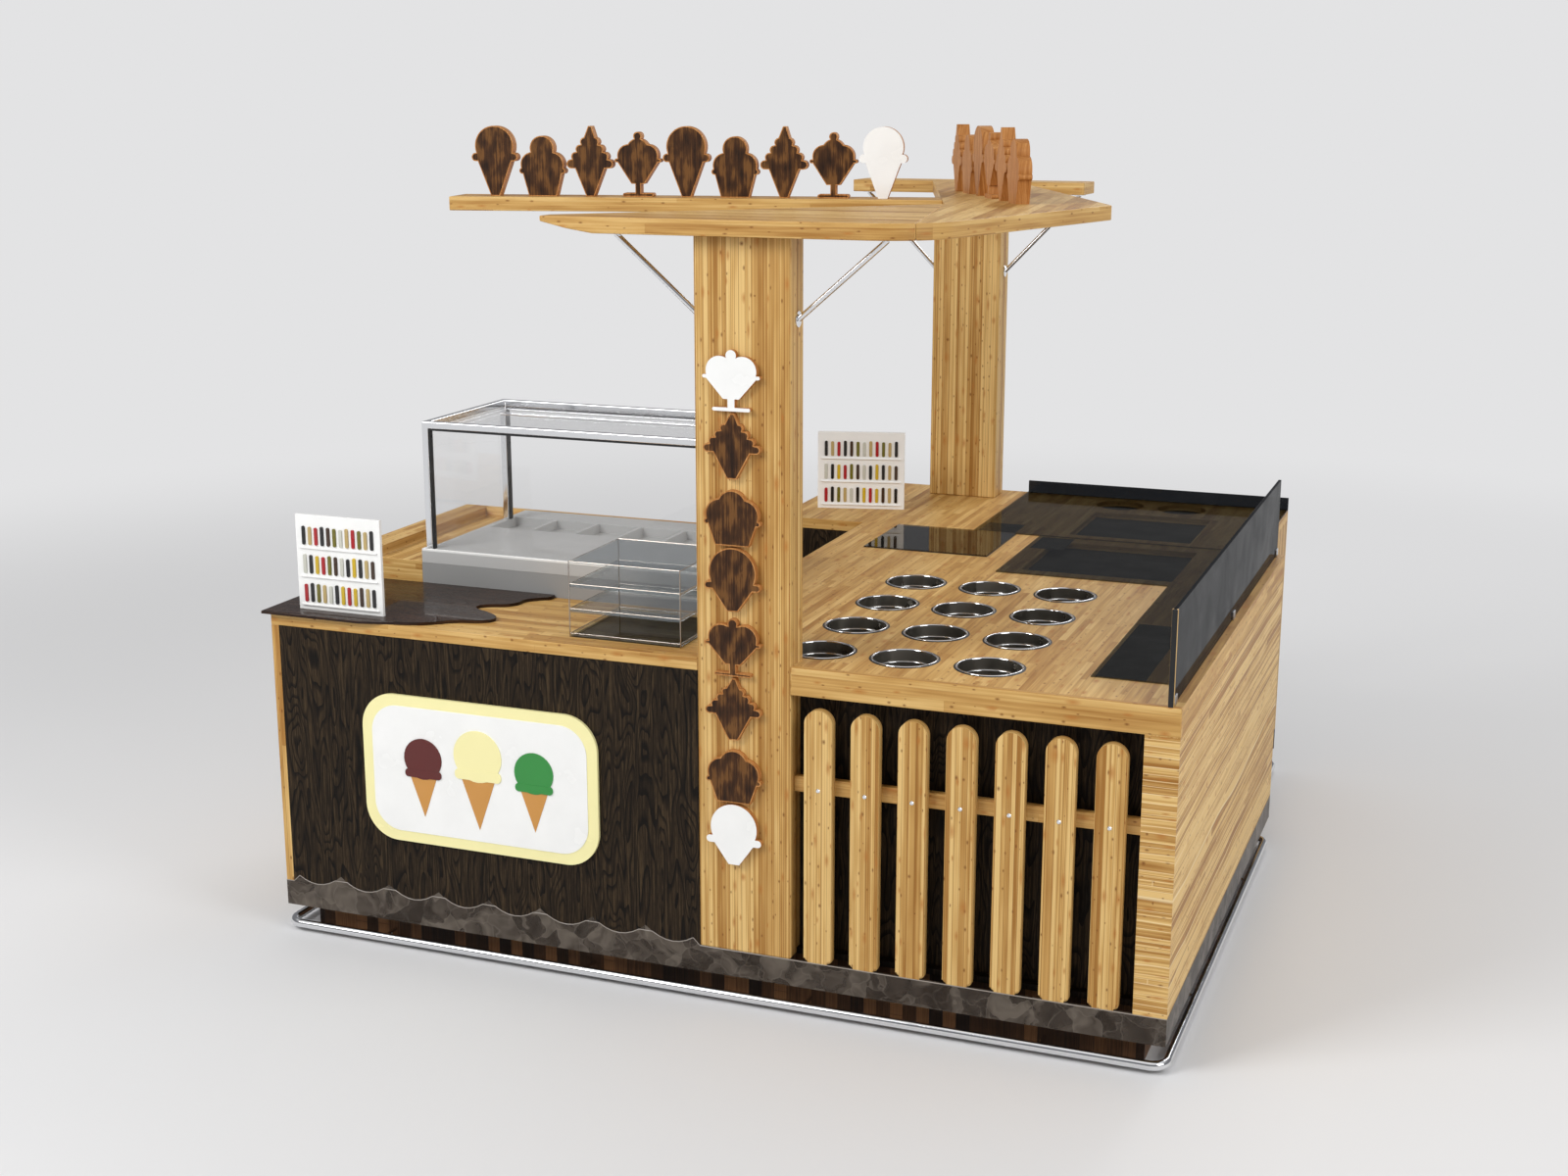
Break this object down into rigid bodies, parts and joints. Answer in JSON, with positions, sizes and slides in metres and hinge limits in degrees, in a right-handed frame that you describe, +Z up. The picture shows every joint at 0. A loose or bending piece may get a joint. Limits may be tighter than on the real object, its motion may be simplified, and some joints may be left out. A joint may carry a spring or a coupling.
{
  "type": "ice cream kiosk",
  "caption": "Walk-up ice cream kiosk with bamboo counters, dark wood fronts, picket-fence panel, topping wells, display case and an open two-column canopy with cut-out signs.",
  "frame": {"origin": "on the floor, under the middle of the kiosk's bounding box", "axes": "+Z up, the long customer front faces -Y, +X to the customer's right as they face it"},
  "size_m": [2.854, 2.824, 2.51],
  "materials": {
    "bamboo": "caramelised bamboo laminate, satin lacquer",
    "dark_wood": "dark stained oak-grain veneer, satin",
    "block_wood": "end-grain block plinth, dark stain",
    "smoked_acrylic": "smoky translucent cast acrylic",
    "chrome_tube": "polished",
    "steel_sheet": "satin",
    "black_glass": "smoked float glass",
    "clear_glass": "clear float glass and acrylic",
    "walnut_board": "dark walnut face, pale edges",
    "white_board": "white foam PVC",
    "drip_gloss": "glossy dark resin"
  },
  "bodies": {
    "root": {"left_end_panel": "bamboo", "left_counter_top": "bamboo", "display_side_wall": "bamboo", "display_back_wall": "bamboo", "right_side_wall": "bamboo", "fence_rail": "bamboo", "fence_pickets": "bamboo", "counter_front_edge": "bamboo", "counter_left_part": "bamboo", "counter_right_part": "bamboo", "counter_rear_part": "bamboo", "well_block_front": "bamboo", "well_block_rear": "bamboo", "back_counter_top": "bamboo", "back_end_panels": "bamboo", "front_column": "bamboo", "rear_column": "bamboo", "canopy_front_wing": "bamboo", "canopy_side_board": "bamboo", "canopy_sign_bar": "bamboo", "canopy_rear_board": "bamboo", "left_front_panel": "dark_wood", "fence_back_panel": "dark_wood", "aisle_panel": "dark_wood", "back_front_panel": "dark_wood", "back_rear_panel": "dark_wood", "cabinet_floors": "dark_wood", "plinth_left": "block_wood", "plinth_right": "block_wood", "plinth_back": "block_wood", "ice_skirt_front": "smoked_acrylic", "ice_skirt_sides": "smoked_acrylic", "floor_rail": "chrome_tube", "rail_pins": "chrome_tube", "display_frame": "chrome_tube", "canopy_struts": "chrome_tube", "display_cabinet": "steel_sheet", "display_tray": "steel_sheet", "topping_cups": "steel_sheet", "side_glass_top": "black_glass", "cooking_plate": "black_glass", "side_guard": "black_glass", "back_glass_top": "black_glass", "back_guard": "black_glass", "display_glass": "clear_glass", "clear_organizer": "clear_glass", "roof_sign_front": "walnut_board", "roof_sign_side": "walnut_board", "column_sign": "walnut_board", "front_plaque": "white_board", "flavour_board_left": "white_board", "flavour_board_right": "white_board", "drip_overlay": "drip_gloss"}
  },
  "joints": []
}
